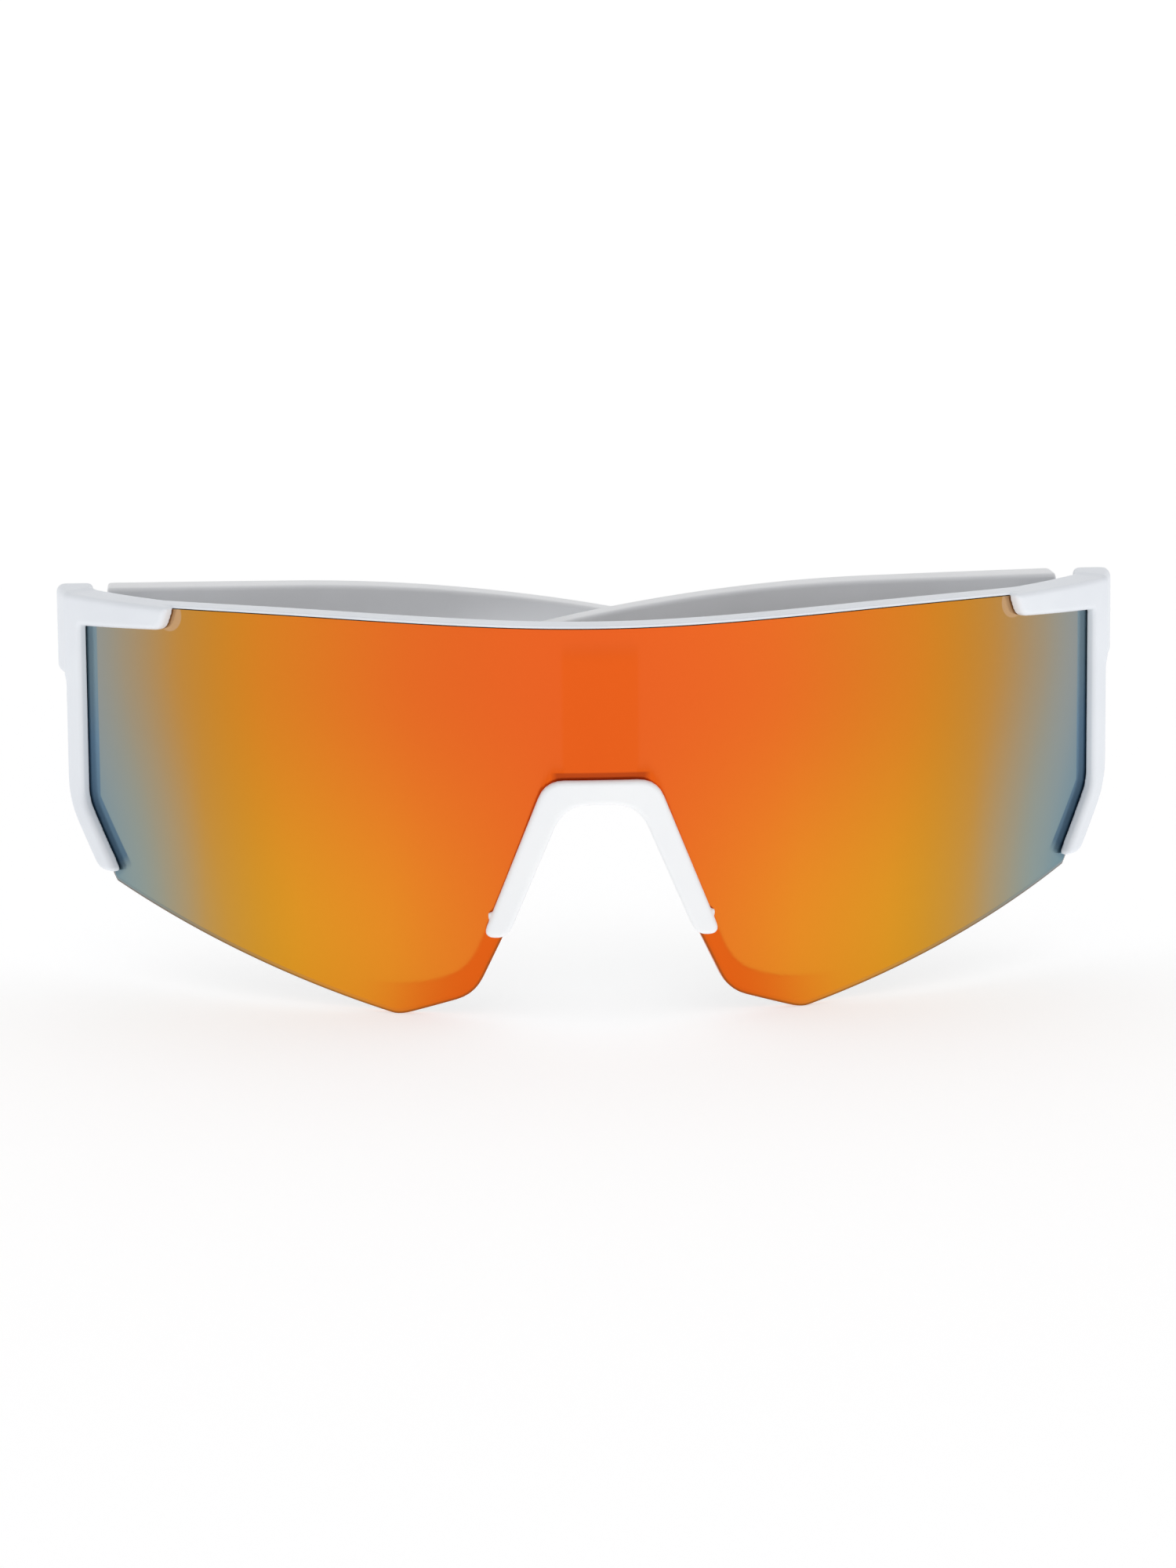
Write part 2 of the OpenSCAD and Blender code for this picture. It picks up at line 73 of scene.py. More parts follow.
# Lens edges: the top and its crests, the side with its knee, the corners of the nose cut-out and
# of the tip, and the run from the tip out to the side
LENS_TOP = 23.9
CREST_X = 37.0
CREST_RISE = 0.6
SIDE_FALL = 2.4
EDGE_U = 0.35
EDGE_KNEE = 6.45
CUT_TOP = (5.345, 0.6)
CUT_END = (13.41, -18.4)
TIP_START = (17.4, -26.7)
TIP = (27.6, -30.0)
TIP_RUN_SHORT = 5.8
TIP_RUN_RISE = 13.6
TIP_RUN_SAG = 3.4

# Side bars: upright down to the knee, then a slanted end down to the toe
TURN = math.radians(53.6)
BAR_HALF = 1.75
BAR_KNEE = -5.4
SLANT = (6.9, 9.4)
TOE = (-BAR_HALF - SLANT[0], BAR_KNEE - SLANT[1])
LEAN = SLANT[0] / SLANT[1]
BAR_X = BUMPER_R * math.sin(TURN)
BAR_Y = AXIS_Y - BUMPER_R * math.cos(TURN)

# End pieces and hinges
END_X = BAR_X + 2.1
END_Y = BAR_Y + 9.7
END_TOP = 23.5
END_FOOT = 11.5
ROOT_THICK = 5.2
IN_FACE = END_X - ROOT_THICK
HINGE = (IN_FACE - 1.7, END_Y)
FOLD = {"right": 96.6, "left": 90.0}

# Nose arch and pads
ARCH_HALF = 5.0
ARCH_LEAN = 23.0
LEG_END = 18.4
PAD_SPLAY = 24.0
PAD_PLACE = (10.57, 0.1, -10.05)
PAD_OUT = (1.45, 10.9)
PAD_HALF = 7.2
PAD_SWELL = 1.38

# Arms
ARM_L = 2 * HINGE[0] - 11.6
ARM_TOP = 22.2
BUTT_GAP = 0.15
ROOT_TALL = 10.0
SLIM_THICK = 1.0
SLIM_TALL = 3.2
STRAIGHT_L = 26.0
TIP_FALL = 20.0
TURN_IN = 4.0
TURN_IN_SHARE = 0.35
SLEEVE_FROM = ARM_L - 40.0
CORE_TO = ARM_L - 6.66
TIP_L = 3.4

# Spacing of the distance fields' samples
PITCH = 0.2


# Shape helpers

def smooth_step(t):
    """0 below 0, 1 above 1, and between them three times the square less twice the cube."""
    t = np.clip(t, 0, 1)
    return t * t * (3 - 2 * t)


def turned(degrees):
    """Rotation about the upright."""
    c, s = math.cos(math.radians(degrees)), math.sin(math.radians(degrees))
    return np.array([(c, -s, 0), (s, c, 0), (0, 0, 1)])


def leaned(degrees):
    """Rotation about the axis out of the lens."""
    c, s = math.cos(math.radians(degrees)), math.sin(math.radians(degrees))
    return np.array([(c, 0, s), (0, 1, 0), (-s, 0, c)])


def on_tube(radius, angle, z):
    """Points round the tube's axis: out by the radius times the angle's sine, forward of the
    axis by the radius times its cosine, and up by a height."""
    return np.stack([radius * np.sin(angle), AXIS_Y - radius * np.cos(angle), z], -1)


def beside_bar(r, u):
    """A place in plan: out to a radius at the right bar's angle, then square to that, by a
    distance along the bar's plane."""
    x = r * math.sin(TURN) + u * math.cos(TURN)
    return x, AXIS_Y - r * math.cos(TURN) + u * math.sin(TURN)


def lens_top(x):
    """Top edge: a squared sine up to the crests, then a falling parabola."""
    x = np.abs(x)
    rise = LENS_TOP + CREST_RISE * np.sin(np.minimum(x / CREST_X, 1) * math.pi / 2) ** 2
    return rise - SIDE_FALL * (np.maximum(x - CREST_X, 0) / (BAR_X - CREST_X)) ** 2


def arch(drop):
    """Half the nose arch's inner width, which grows by the lean's tangent below the saddle."""
    return ARCH_HALF + drop * math.tan(math.radians(ARCH_LEAN))


def rounded(corners, steps=5):
    """Closed outline of (x, y, rounding) corners: each corner is a quadratic curve that starts
    and ends at its rounding's distance along the two sides, or halfway if they are shorter."""
    corners = np.asarray(corners, float)
    place, rounding = corners[:, :2], corners[:, 2:]
    before, after = np.roll(place, 1, 0) - place, np.roll(place, -1, 0) - place
    long_before = np.linalg.norm(before, axis=1, keepdims=True)
    long_after = np.linalg.norm(after, axis=1, keepdims=True)
    start = place + before / long_before * np.minimum(rounding, long_before / 2)
    stop = place + after / long_after * np.minimum(rounding, long_after / 2)
    start, place, stop = start[:, None], place[:, None], stop[:, None]
    s = np.linspace(0, 1, steps + 1)[None, :, None]
    outline = (start * (1 - s) ** 2 + place * 2 * s * (1 - s) + stop * s * s).reshape(-1, 2)
    gap = np.linalg.norm(outline - np.roll(outline, 1, 0), axis=1)
    return outline[gap > 1e-6]


# Distance fields, negative inside

def outline_distance(x, y, outline):
    """Signed distance to a closed outline: the nearest side's distance, negative where a ray
    towards +x crosses the outline an odd number of times."""
    best = np.full(x.shape, 1e9, np.float32)
    inside = np.zeros(x.shape, bool)
    for (start_x, start_y), (stop_x, stop_y) in zip(outline, np.roll(outline, -1, 0)):
        side_x, side_y = stop_x - start_x, stop_y - start_y
        past_x, past_y = x - start_x, y - start_y
        square = side_x * side_x + side_y * side_y
        share = np.clip((past_x * side_x + past_y * side_y) / square, 0, 1)
        best = np.minimum(best, (past_x - share * side_x) ** 2 + (past_y - share * side_y) ** 2)
        if start_y != stop_y:
            level = (start_y > y) != (stop_y > y)
            inside ^= level & (past_x < side_x * past_y / side_y)
    return np.where(inside, -1, 1) * np.sqrt(best)


def both(a, b, soft):
    """What lies inside both fields: the larger of the two, with a circle of radius soft round
    the edge between them."""
    a, b = a + soft, b + soft
    return np.minimum(np.maximum(a, b), 0) + np.hypot(np.maximum(a, 0), np.maximum(b, 0)) - soft


def either(a, b, soft):
    """Two fields joined: the smaller of the two, less a squared term where they differ by under
    soft, which makes a fillet in the corner between them."""
    near = np.maximum(soft - np.abs(a - b), 0) / soft
    return np.minimum(a, b) - near * near * soft / 4


def band(value, low, high):
    """The slab between two values: the distance from its middle less half its thickness."""
    return np.abs(value - (low + high) / 2) - (high - low) / 2


def sample_grid(low, high, pitch):
    """Coordinates of a box of evenly spaced sample points."""
    axes = [np.arange(a, b + pitch, pitch, dtype=np.float32) for a, b in zip(low, high)]
    return np.meshgrid(*axes, indexing="ij")


def field_skin(field, low, pitch):
    """Surface where a sampled field is zero. A cell that the surface crosses has one vertex, the
    mean of the crossings on its twelve edges, and each crossed grid edge has one quad, through
    the four cells round it, turned so that it faces the positive side."""
    inside = field < 0
    cells = tuple(n - 1 for n in field.shape)
    total = np.zeros(cells + (3,), np.float32)
    count = np.zeros(cells, np.float32)
    index = np.arange(np.prod(cells)).reshape(cells)
    faces = []
    for axis in range(3):
        # Views with this axis first, so what sums and hits gain goes into total and count
        first, second = (axis + 1) % 3, (axis + 2) % 3
        value, within, sums, hits, cell = (np.moveaxis(array, (axis, first, second), (0, 1, 2))
                                           for array in (field, inside, total, count, index))
        crossed = within[1:] != within[:-1]
        step = np.where(crossed, value[:-1] - value[1:], 1)
        along = np.arange(len(value) - 1)[:, None, None] + value[:-1] / step
        rows, cols = cell.shape[1:]
        for down in (0, 1):
            for over in (0, 1):
                edge = slice(None), slice(down, rows + down), slice(over, cols + over)
                hits += crossed[edge]
                sums[..., axis] += np.where(crossed[edge], along[edge], 0)
                sums[..., first] += crossed[edge] * (np.arange(rows)[None, :, None] + down)
                sums[..., second] += crossed[edge] * (np.arange(cols)[None, None, :] + over)
        middle = crossed[:, 1:-1, 1:-1]
        quad = np.stack([cell[:, :-1, :-1], cell[:, 1:, :-1], cell[:, 1:, 1:], cell[:, :-1, 1:]], -1)
        outward = within[:-1, 1:-1, 1:-1]
        faces.append(quad[middle & outward])
        faces.append(quad[middle & ~outward][:, ::-1])
    used = count > 0
    number = np.cumsum(used.ravel()) - 1
    points = total[used] / count[used][:, None] * pitch + np.asarray(low, np.float32)
    return points, number[np.concatenate(faces)].tolist()


# Meshes

def grid_faces(rows, cols, closed=False):
    """Quads between neighbours of a numbered grid, facing along (down a column) x (along a row).
    The last column joins the first where the rows are closed."""
    n = np.arange(rows * cols).reshape(rows, cols)
    if closed:
        n = np.concatenate([n, n[:, :1]], 1)
    return np.stack([n[:-1, :-1], n[1:, :-1], n[1:, 1:], n[:-1, 1:]], -1).reshape(-1, 4).tolist()


def swept(loops):
    """Closed surface through a row of closed loops (stations, points, 3), with flat ends."""
    rows, cols = loops.shape[:2]
    faces = grid_faces(rows, cols, closed=True)
    faces.append(list(range(cols)))
    faces.append(list(range(rows * cols - 1, (rows - 1) * cols - 1, -1)))
    return loops.reshape(-1, 3), faces


def mirrored(points, faces):
    """The same surface across the middle plane, with its faces turned round."""
    return points * (-1, 1, 1), [face[::-1] for face in faces]


def both_sides(points, faces):
    """A right-hand surface and its mirror image, by side."""
    return {"right": (points, faces), "left": mirrored(points, faces)}


def mesh_piece(name, points, faces, body, node, materials, sharp, face_material=None,
               values=None):
    """A finished piece: its mesh in metres at the origin, smooth apart from edges over sharp."""
    mesh = bpy.data.meshes.new(name)
    mesh.from_pydata((points * MM).tolist(), [], faces)
    for material in materials:
        mesh.materials.append(material)
    if face_material is not None:
        mesh.polygons.foreach_set("material_index", face_material)
    for key, array in (values or {}).items():
        layer = mesh.attributes.new(key, "FLOAT", "POINT")
        layer.data.foreach_set("value", np.asarray(array, np.float32).ravel())
    mesh.shade_smooth()
    mesh.set_sharp_from_angle(angle=math.radians(sharp))
    mesh.update()
    piece = bpy.data.objects.new(name, mesh)
    bpy.context.scene.collection.objects.link(piece)
    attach(piece, body)
    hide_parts(node)
    return piece


# Shader helpers

def new_material(name, **sockets):
    """A Principled material with constants on its own sockets, and its nodes and shader."""
    material = bpy.data.materials.new(name)
    material.use_nodes = True
    tree = material.node_tree
    shader = tree.nodes["Principled BSDF"]
    for key, value in sockets.items():
        shader.inputs[key.replace("_", " ")].default_value = value
    return material, tree, shader


def add_node(tree, kind, inputs=None, **settings):
    """A node with settings, and inputs given as constants or as other nodes' outputs."""
    node = tree.nodes.new(kind)
    for key, value in settings.items():
        setattr(node, key, value)
    for key, value in (inputs or {}).items():
        if isinstance(value, bpy.types.NodeSocket):
            tree.links.new(value, node.inputs[key])
        else:
            node.inputs[key].default_value = value
    return node


def place_of(tree):
    """The place on the piece, in metres in the part's own frame."""
    return add_node(tree, "ShaderNodeTexCoord").outputs["Object"]


def grain(tree, scale, detail=2.0, rough=0.5):
    """Noise with features of about 1/scale metres."""
    return add_node(tree, "ShaderNodeTexNoise", {
        "Vector": place_of(tree), "Scale": scale, "Detail": detail, "Roughness": rough}).outputs["Fac"]


def calculate(tree, operation, *values):
    """Result of one math operation on values, each a number or another node's output."""
    return add_node(tree, "ShaderNodeMath", dict(enumerate(values)), operation=operation).outputs[0]


def times(tree, first, second):
    """Product of two values."""
    return calculate(tree, "MULTIPLY", first, second)


def between(tree, value, none, full):
    """A factor that goes from 0 at one value to 1 at another."""
    return add_node(tree, "ShaderNodeMapRange", {"Value": value, "From Min": none,
                                                 "From Max": full}).outputs["Result"]


def blend(tree, factor, under, over):
    """Two colours mixed by a factor, all of the second at 1."""
    return add_node(tree, "ShaderNodeMix", {"Factor": factor, "A": under, "B": over},
                    data_type="RGBA").outputs[2]


def ramp(tree, factor, stops, ease="LINEAR"):
    """A colour ramp from (place, colour) stops."""
    node = add_node(tree, "ShaderNodeValToRGB", {"Fac": factor})
    node.color_ramp.interpolation = ease
    points = node.color_ramp.elements
    while len(points) < len(stops):
        points.new(0.5)
    for point, (place, colour) in zip(points, stops):
        point.position = place
        point.color = colour
    return node.outputs["Color"]


def shade(red, green, blue):
    """A linear colour from display values out of 255."""
    c = np.array([red, green, blue]) / 255
    linear = np.where(c <= 0.04045, c / 12.92, ((c + 0.055) / 1.055) ** 2.4)
    return (*linear.tolist(), 1.0)


def add_bump(tree, shader, height, strength, distance):
    """Bump from a height of 0 to 1, with its strength and its size in millimetres."""
    bump = add_node(tree, "ShaderNodeBump", {"Height": height, "Strength": strength,
                                             "Distance": distance * MM})
    tree.links.new(bump.outputs["Normal"], shader.inputs["Normal"])


# Plastic, rubber and steel

def plastic(name, low, high, roughness, bump, scale):
    """Moulded plastic: faint cloudy colour, satin sheen that varies, and a fine moulded skin."""
    material, tree, shader = new_material(name, Roughness=roughness, IOR=1.47)
    cloud = grain(tree, 60, 3)
    tree.links.new(ramp(tree, cloud, [(0.3, low), (0.7, high)]), shader.inputs["Base Color"])
    skin = grain(tree, scale, 4, 0.6)
    sheen = add_node(tree, "ShaderNodeMapRange", {
        "Value": skin, "To Min": roughness - 0.05, "To Max": roughness + 0.07})
    tree.links.new(sheen.outputs["Result"], shader.inputs["Roughness"])
    add_bump(tree, shader, skin, bump, 0.02)
    return material


def brushed_steel():
    """Steel with fine scratches drawn out along its height."""
    material, tree, shader = new_material("brushed_steel", Metallic=1.0, Roughness=0.3)
    stretch = add_node(tree, "ShaderNodeMapping", {"Vector": place_of(tree),
                                                   "Scale": (9000, 9000, 500)})
    lines = add_node(tree, "ShaderNodeTexNoise", {"Vector": stretch.outputs["Vector"],
                                                  "Scale": 1.0, "Detail": 3.0}).outputs["Fac"]
    tones = [(0.3, shade(150, 152, 156)), (0.75, shade(205, 206, 208))]
    tree.links.new(ramp(tree, lines, tones), shader.inputs["Base Color"])
    add_bump(tree, shader, lines, 0.3, 0.01)
    return material


# The mirror coating: its middle, how far its tones reach from there, how much sooner they come
# low on the lens, and between which heights. The tones and spans are at shares of the reach.
COAT_MIDDLE = -0.8
COAT_REACH = 78.0
COAT_SOONER = 0.085
COAT_HIGH, COAT_LOW = 18.0, -26.0
SOONER_RISE = (0.0, 0.6)
GOLD_RISE, GOLD_FALL, GOLD_SHARE = (0.0, 0.36), (0.84, 0.52), 0.27
TEAL_RISE, TEAL_SHARE = (0.68, 0.8), 0.38
COAT_TONES = [(0.0, shade(227, 94, 36)), (0.32, shade(232, 103, 39)), (0.57, shade(218, 132, 36)),
              (0.72, shade(190, 134, 40)), (0.82, shade(153, 145, 122)), (0.89, shade(141, 148, 149)),
              (0.94, shade(104, 129, 146)), (1.0, shade(92, 122, 140))]
GOLD_BLOOM = shade(250, 200, 42)
TEAL_BLOOM = shade(116, 160, 166)
FACET_TONE = shade(227, 92, 20)
# Painted reflection of the bar's shaded inner wall in the coating: blue tones, darker lower down
BAR_WALL_REFLECTION_TONES = [(0.02, shade(116, 140, 151)), (0.26, shade(96, 128, 152)),
               (0.62, shade(78, 107, 130)), (1.0, shade(70, 98, 118))]
# Where the painted reflection of the bumper arm's white end, a tan crescent, sits on the lens
ARM_END_REFLECTION_TURN, ARM_END_REFLECTION_Z = TURN - 0.2124, 22.9


def mirror_coat():
    """Mirror coating: one ramp of tones over the distance from the middle, orange to ochre to
    grey-blue. Low on the lens the same tones come sooner and gain a golden bloom, with teal
    towards the sides, and the moulded facet is a deeper orange."""
    material, tree, shader = new_material("mirror_coat", Metallic=1.0, Roughness=0.16)
    split = add_node(tree, "ShaderNodeSeparateXYZ", {"Vector": place_of(tree)})
    x, y, z = (split.outputs[axis] for axis in "XYZ")
    away = calculate(tree, "ABSOLUTE", calculate(tree, "SUBTRACT", x, COAT_MIDDLE * MM))
    reach = between(tree, away, 0.0, COAT_REACH * MM)
    depth = add_node(tree, "ShaderNodeMapRange", {"Value": z, "From Min": COAT_HIGH * MM,
                                                  "From Max": COAT_LOW * MM},
                     interpolation_type="SMOOTHSTEP").outputs["Result"]
    sooner = times(tree, times(tree, depth, between(tree, reach, *SOONER_RISE)), COAT_SOONER)
    tones = ramp(tree, calculate(tree, "ADD", reach, sooner), COAT_TONES, "B_SPLINE")
    gold = times(tree, between(tree, reach, *GOLD_RISE), between(tree, reach, *GOLD_FALL))
    body = blend(tree, times(tree, times(tree, depth, gold), GOLD_SHARE), tones, GOLD_BLOOM)
    teal = times(tree, depth, between(tree, reach, *TEAL_RISE))
    body = blend(tree, times(tree, teal, TEAL_SHARE), body, TEAL_BLOOM)
    facet = add_node(tree, "ShaderNodeAttribute", attribute_name="facet").outputs["Fac"]
    body = blend(tree, facet, body, FACET_TONE)
    spot = add_node(tree, "ShaderNodeCombineXYZ", {
        "X": calculate(tree, "ABSOLUTE", x), "Y": y, "Z": z}).outputs["Vector"]
    tree.links.new(frame_in_mirror(tree, spot, depth, body), shader.inputs["Base Color"])
    add_bump(tree, shader, grain(tree, 25, 1), 0.05, 0.05)
    return material


def past_line(tree, spot, corner, way):
    """Millimetres past a line on the bar's plane: the line goes through a corner (along, up) and
    the distance is measured square to it, along way."""
    along, up = np.array(way) / math.hypot(*way)
    flat = (along * math.cos(TURN), along * math.sin(TURN), up)
    reach = add_node(tree, "ShaderNodeVectorMath", {0: spot, 1: flat}, operation="DOT_PRODUCT")
    start = along * (AXIS_Y * math.sin(TURN) + corner[0]) + up * corner[1]
    return calculate(tree, "MULTIPLY_ADD", reach.outputs["Value"], 1 / MM, -start)


def painted_bar_wall_reflection(tree, spot):
    """A painted reflection of the bar's shaded inner wall: a strip along the inner edge of the bar
    and of its slanted end, that fades at the toe.
    """
    inner = past_line(tree, spot, (-BAR_HALF, 0), (-1, 0))
    slant = past_line(tree, spot, (-BAR_HALF, BAR_KNEE), (-SLANT[1], SLANT[0]))
    corner = calculate(tree, "MINIMUM", inner, slant)
    past_toe = past_line(tree, spot, TOE, (-SLANT[0], -SLANT[1]))
    return times(tree, between(tree, corner, 2.4, 2.15), between(tree, past_toe, 0.3, -1.6))


def painted_arch_reflection_line(tree, across, up):
    """A painted reflection of the nose arch's shaded top: a line over the arch, between two
    heights, that fades at its ends.
    """
    above, below, ends = (4.35 * MM, 4.1 * MM), (2.6 * MM, 3.0 * MM), (6.8 * MM, 5.9 * MM)
    line = times(tree, between(tree, up, *above), between(tree, up, *below))
    return times(tree, line, between(tree, across, *ends))


def frame_in_mirror(tree, spot, depth, colour):
    """Painted reflections of the frame in the coating: the bar's shaded inner wall as a blue strip
    along the bar, darker lower down, the bumper arm's white end as a tan crescent past it and the
    nose arch's shaded top as a dark line over the arch. The lower edge has a dark rim, and a slate
    bevel towards the sides."""
    split = add_node(tree, "ShaderNodeSeparateXYZ", {"Vector": spot})
    across, up = split.outputs["X"], split.outputs["Z"]
    arm_end = on_tube(LENS_R, ARM_END_REFLECTION_TURN, ARM_END_REFLECTION_Z) * MM
    past_end = add_node(tree, "ShaderNodeVectorMath", {0: spot, 1: arm_end.tolist()},
                        operation="DISTANCE").outputs["Value"]
    rise = add_node(tree, "ShaderNodeAttribute", attribute_name="rise").outputs["Fac"]
    bevel = times(tree, between(tree, rise, 0.78, 0.7), between(tree, across, 25 * MM, 58 * MM))
    # Painted reflections of the bar's shaded inner wall, the arm's white end and the arch's shaded
    # top, then the lower edge's dark rim and slate bevel
    layers = ((0.9, painted_bar_wall_reflection(tree, spot), ramp(tree, depth, BAR_WALL_REFLECTION_TONES)),
              (0.4, bevel, shade(92, 108, 114)),
              (0.6, between(tree, rise, 0.42, 0.15), shade(110, 74, 36)),
              (0.85, between(tree, past_end, 2.45 * MM, 2.3 * MM), shade(196, 158, 118)),
              (0.8, painted_arch_reflection_line(tree, across, up), shade(172, 64, 24)))
    for share, factor, tone in layers:
        colour = blend(tree, times(tree, factor, share), colour, tone)
    return colour


# The frame's white carries a painted blue cast that stands in for the front light's colour; the arms'
# white is the plain plastic
WHITE = plastic("moulded_white_painted_blue_light", shade(236, 240, 246), shade(242, 246, 251), 0.42, 0.12, 2500)
ARM_WHITE = plastic("arm_white", shade(235, 236, 238), shade(242, 243, 245), 0.45, 0.12, 2500)
# The nose clip's white is the same plastic painted brighter, as if more strongly lit
BRIGHT_PAINTED_CLIP_WHITE = plastic("clip_white_painted_bright", shade(247, 250, 253), shade(252, 254, 255), 0.38, 0.1, 2500)
RUBBER = plastic("soft_rubber", shade(205, 207, 210), shade(216, 218, 221), 0.66, 0.3, 4000)
TINT = plastic("smoke_tint", shade(44, 36, 30), shade(58, 48, 40), 0.12, 0.03, 300)
STEEL = brushed_steel()
MIRROR = mirror_coat()


# The lens

def cut_line(x):
    """Lower edge: the nose arch, the corner beside it and the tip as rounded straight lines, then
    a straight line less a parabola's sag out to the side, and the leaning side edge where that
    is higher."""
    s = np.linspace(0, 1.25, 26)[1:]
    out = TIP[0] + (BAR_X - TIP_RUN_SHORT - TIP[0]) * s
    up = TIP[1] + TIP_RUN_RISE * s - TIP_RUN_SAG * s * (1 - s)
    run = np.stack([out, up, 0 * s], 1)
    beyond, above = 80, 40
    path = rounded([(0, CUT_TOP[1], 0), (*CUT_TOP, 2.2), (*CUT_END, 0), (*TIP_START, 2.6),
                    (*TIP, 1.8), *run, (beyond, above, 0), (0, above, 0)])
    path = path[:np.argmax(path[:, 0] >= beyond - 5)]
    x = np.abs(x)
    # How far along the bar's plane the lens is at x, by one step from a first guess
    u = np.maximum((x - LENS_R * math.sin(TURN)) / math.cos(TURN), -30)
    u = (x - np.sqrt(LENS_R ** 2 - u * u) * math.sin(TURN)) / math.cos(TURN)
    return np.maximum(np.interp(x, path[:, 0], path[:, 1]), -EDGE_KNEE - (EDGE_U - u) / LEAN)


# Inner line of the moulded facet, from beside the nose arch round the tip and outwards
FACET = rounded([(4.4, 5.9, 9), (7.3, 4.3, 9), (8.6, 1.2, 9), (11.9, -8.1, 9), (15.1, -15.8, 9),
                 (17.6, -22.2, 9), (21.5, -24.6, 9), (27.7, -25.6, 9), (40.0, -25.0, 9)])[6:-6]


def facet_share(x, z):
    """How much a place belongs to the moulded facet: half in a strip down the middle, and more in
    the band between a line beside the nose cut-out and the lens's edge. Smooth steps make its
    edges, and fade it near the top and outwards along the lower edge."""
    soft, strip_share, band_share = 0.35, 0.5, 0.8
    strip_half, strip_top, top_fade = 5.15, 22.2, 2.5
    band_from, band_to, side_fade = 5, 34, 17
    x = np.abs(x)
    line = np.interp(x, FACET[:, 0], FACET[:, 1])
    slope = np.interp(x, FACET[:, 0], np.gradient(FACET[:, 1], FACET[:, 0]))
    strip = smooth_step((strip_half - x) / soft + 0.5) * smooth_step((strip_top - z) / top_fade)
    below = smooth_step((line - z) / np.hypot(1, slope) / soft + 0.5) * (x > band_from)
    outer = below * band_share * smooth_step((band_to - x) / side_fade)
    return np.maximum(strip * strip_share, outer)


def make_lens():
    """Front and back faces at two radii of the tube. Each upright station holds a closed loop:
    up the front from the lower edge to the top, and down the back. Straight bevels cut the front
    along the lower edge and the back along both edges, and the moulded facet dips the front by a
    tenth of a millimetre."""
    bevel_in, bevel_high, facet_in, back_in, back_high = 0.34, 0.7, 0.1, 0.2, 0.5
    side = math.sqrt(LENS_R ** 2 - EDGE_U ** 2) * math.sin(TURN) + EDGE_U * math.cos(TURN)
    # Stations all over, with more beside the nose cut-out and at the sides
    more = np.concatenate([np.linspace(3, 30, 120), np.linspace(62, side, 60)])
    x = np.concatenate([-more, more, np.linspace(-side, side, 301)])
    x = np.unique(np.round(x, 3))[:, None]
    low, top = cut_line(x), lens_top(x)
    lean = np.minimum(np.hypot(1, np.gradient(low[:, 0], x[:, 0])), 3.5)[:, None]
    near = np.array([0, 0.08, 0.2, 0.34, 0.5, 0.7, 0.75, 0.8])
    below = low + lean * np.append(near, np.arange(1.1, 4.8, 0.3))
    above = top - near[::-1]
    t = np.linspace(0, 1, 30)[1:-1]
    middle = below[:, -1:] * (1 - t) + above[:, :1] * t
    z = np.concatenate([below, middle, above], 1)
    rise = (z - low) / lean
    gap = np.minimum(rise, top - z)
    facet = facet_share(x, z)
    front_r = LENS_R - bevel_in * (1 - np.clip(rise / bevel_high, 0, 1)) - facet_in * facet
    back_r = BACK_R + back_in * (1 - np.clip(gap / back_high, 0, 1))
    angle = np.arcsin(x / LENS_R)
    loops = np.concatenate([on_tube(front_r, angle, z), on_tube(back_r, angle, z)[:, ::-1]], 1)
    points, faces = swept(loops)
    rows, cols = loops.shape[:2]
    # The coating covers the front and the lower edge
    coated, tinted, ends = 0, 1, 2
    kind = np.full((rows - 1, cols), tinted)
    kind[:, :cols // 2 - 1] = coated
    kind[:, cols - 1] = coated
    kind = np.append(kind.ravel(), [tinted] * ends)
    share = np.concatenate([facet, 0 * facet], 1)
    lift = np.concatenate([np.clip(rise, 0, 1), 0 * rise + 1], 1)
    mesh_piece("mirror_lens", points, faces, "front", "shield_lens", [MIRROR, TINT], 35,
               kind, {"facet": share, "rise": lift})


# The white front frame

def make_rail():
    """Rail behind the lens with a lip over its top edge: an L-shaped section with rounded
    corners, carried round the tube, whose height grows with the square of the distance. The
    section is drawn deep, and its lower corners then follow the rail's foot."""
    half_run, deep = 70.2, 9.0
    x = np.linspace(-half_run, half_run, 187)[:, None]
    top = lens_top(x) + 0.5
    foot = lens_top(x) - 4.6 - 3.8 * (x / BAR_X) ** 2
    section = rounded([(0, 0, 0.55), (3.7, 0, 0.3), (3.7, -0.42, 0.1), (1.9, -0.42, 0),
                       (1.9, -deep, 0.5), (0, -deep, 0.5)], 4)
    out, up = section.T
    z = np.where(up < -deep / 2, foot + up + deep, top + up)
    loops = on_tube(RAIL_R + out, np.arcsin(x / LENS_R), z)
    points, faces = swept(loops[:, ::-1])
    mesh_piece("top_rail", points, faces, "front", "front_frame", [WHITE], 50)


def bumper_field(u, z, r):
    """Side bar with its upper arm and slanted end: an outline on the bar's plane, between two
    radii, with rounded edges."""
    outline = rounded([(-19.75, 24.07, 0.9), (BAR_HALF, END_TOP, 0.3), (BAR_HALF, -5.93, 3.5),
                       (-5.15, TOE[1], 1.3), (*TOE, 1.1), (-BAR_HALF, BAR_KNEE, 1.75),
                       (-BAR_HALF, 19.3, 0.5), (-18.45, 20.77, 1.2)])
    return both(outline_distance(u, z, outline), band(r, RAIL_R, BUMPER_R), 0.75)


def end_piece_field(x, y, z):
    """End piece: an outline in plan between two heights, with rounded edges."""
    front = beside_bar(BUMPER_R - 0.4, BAR_HALF - 0.4)
    outline = rounded([(*front, 0), (END_X - 0.2, (front[1] + END_Y) / 2, 1.6), (END_X, END_Y, 1.6),
                       (IN_FACE, END_Y, 0.4), (*beside_bar(85.15, 1.1), 0)])
    return both(outline_distance(x, y, outline), band(z, END_FOOT, END_TOP), 1.0)


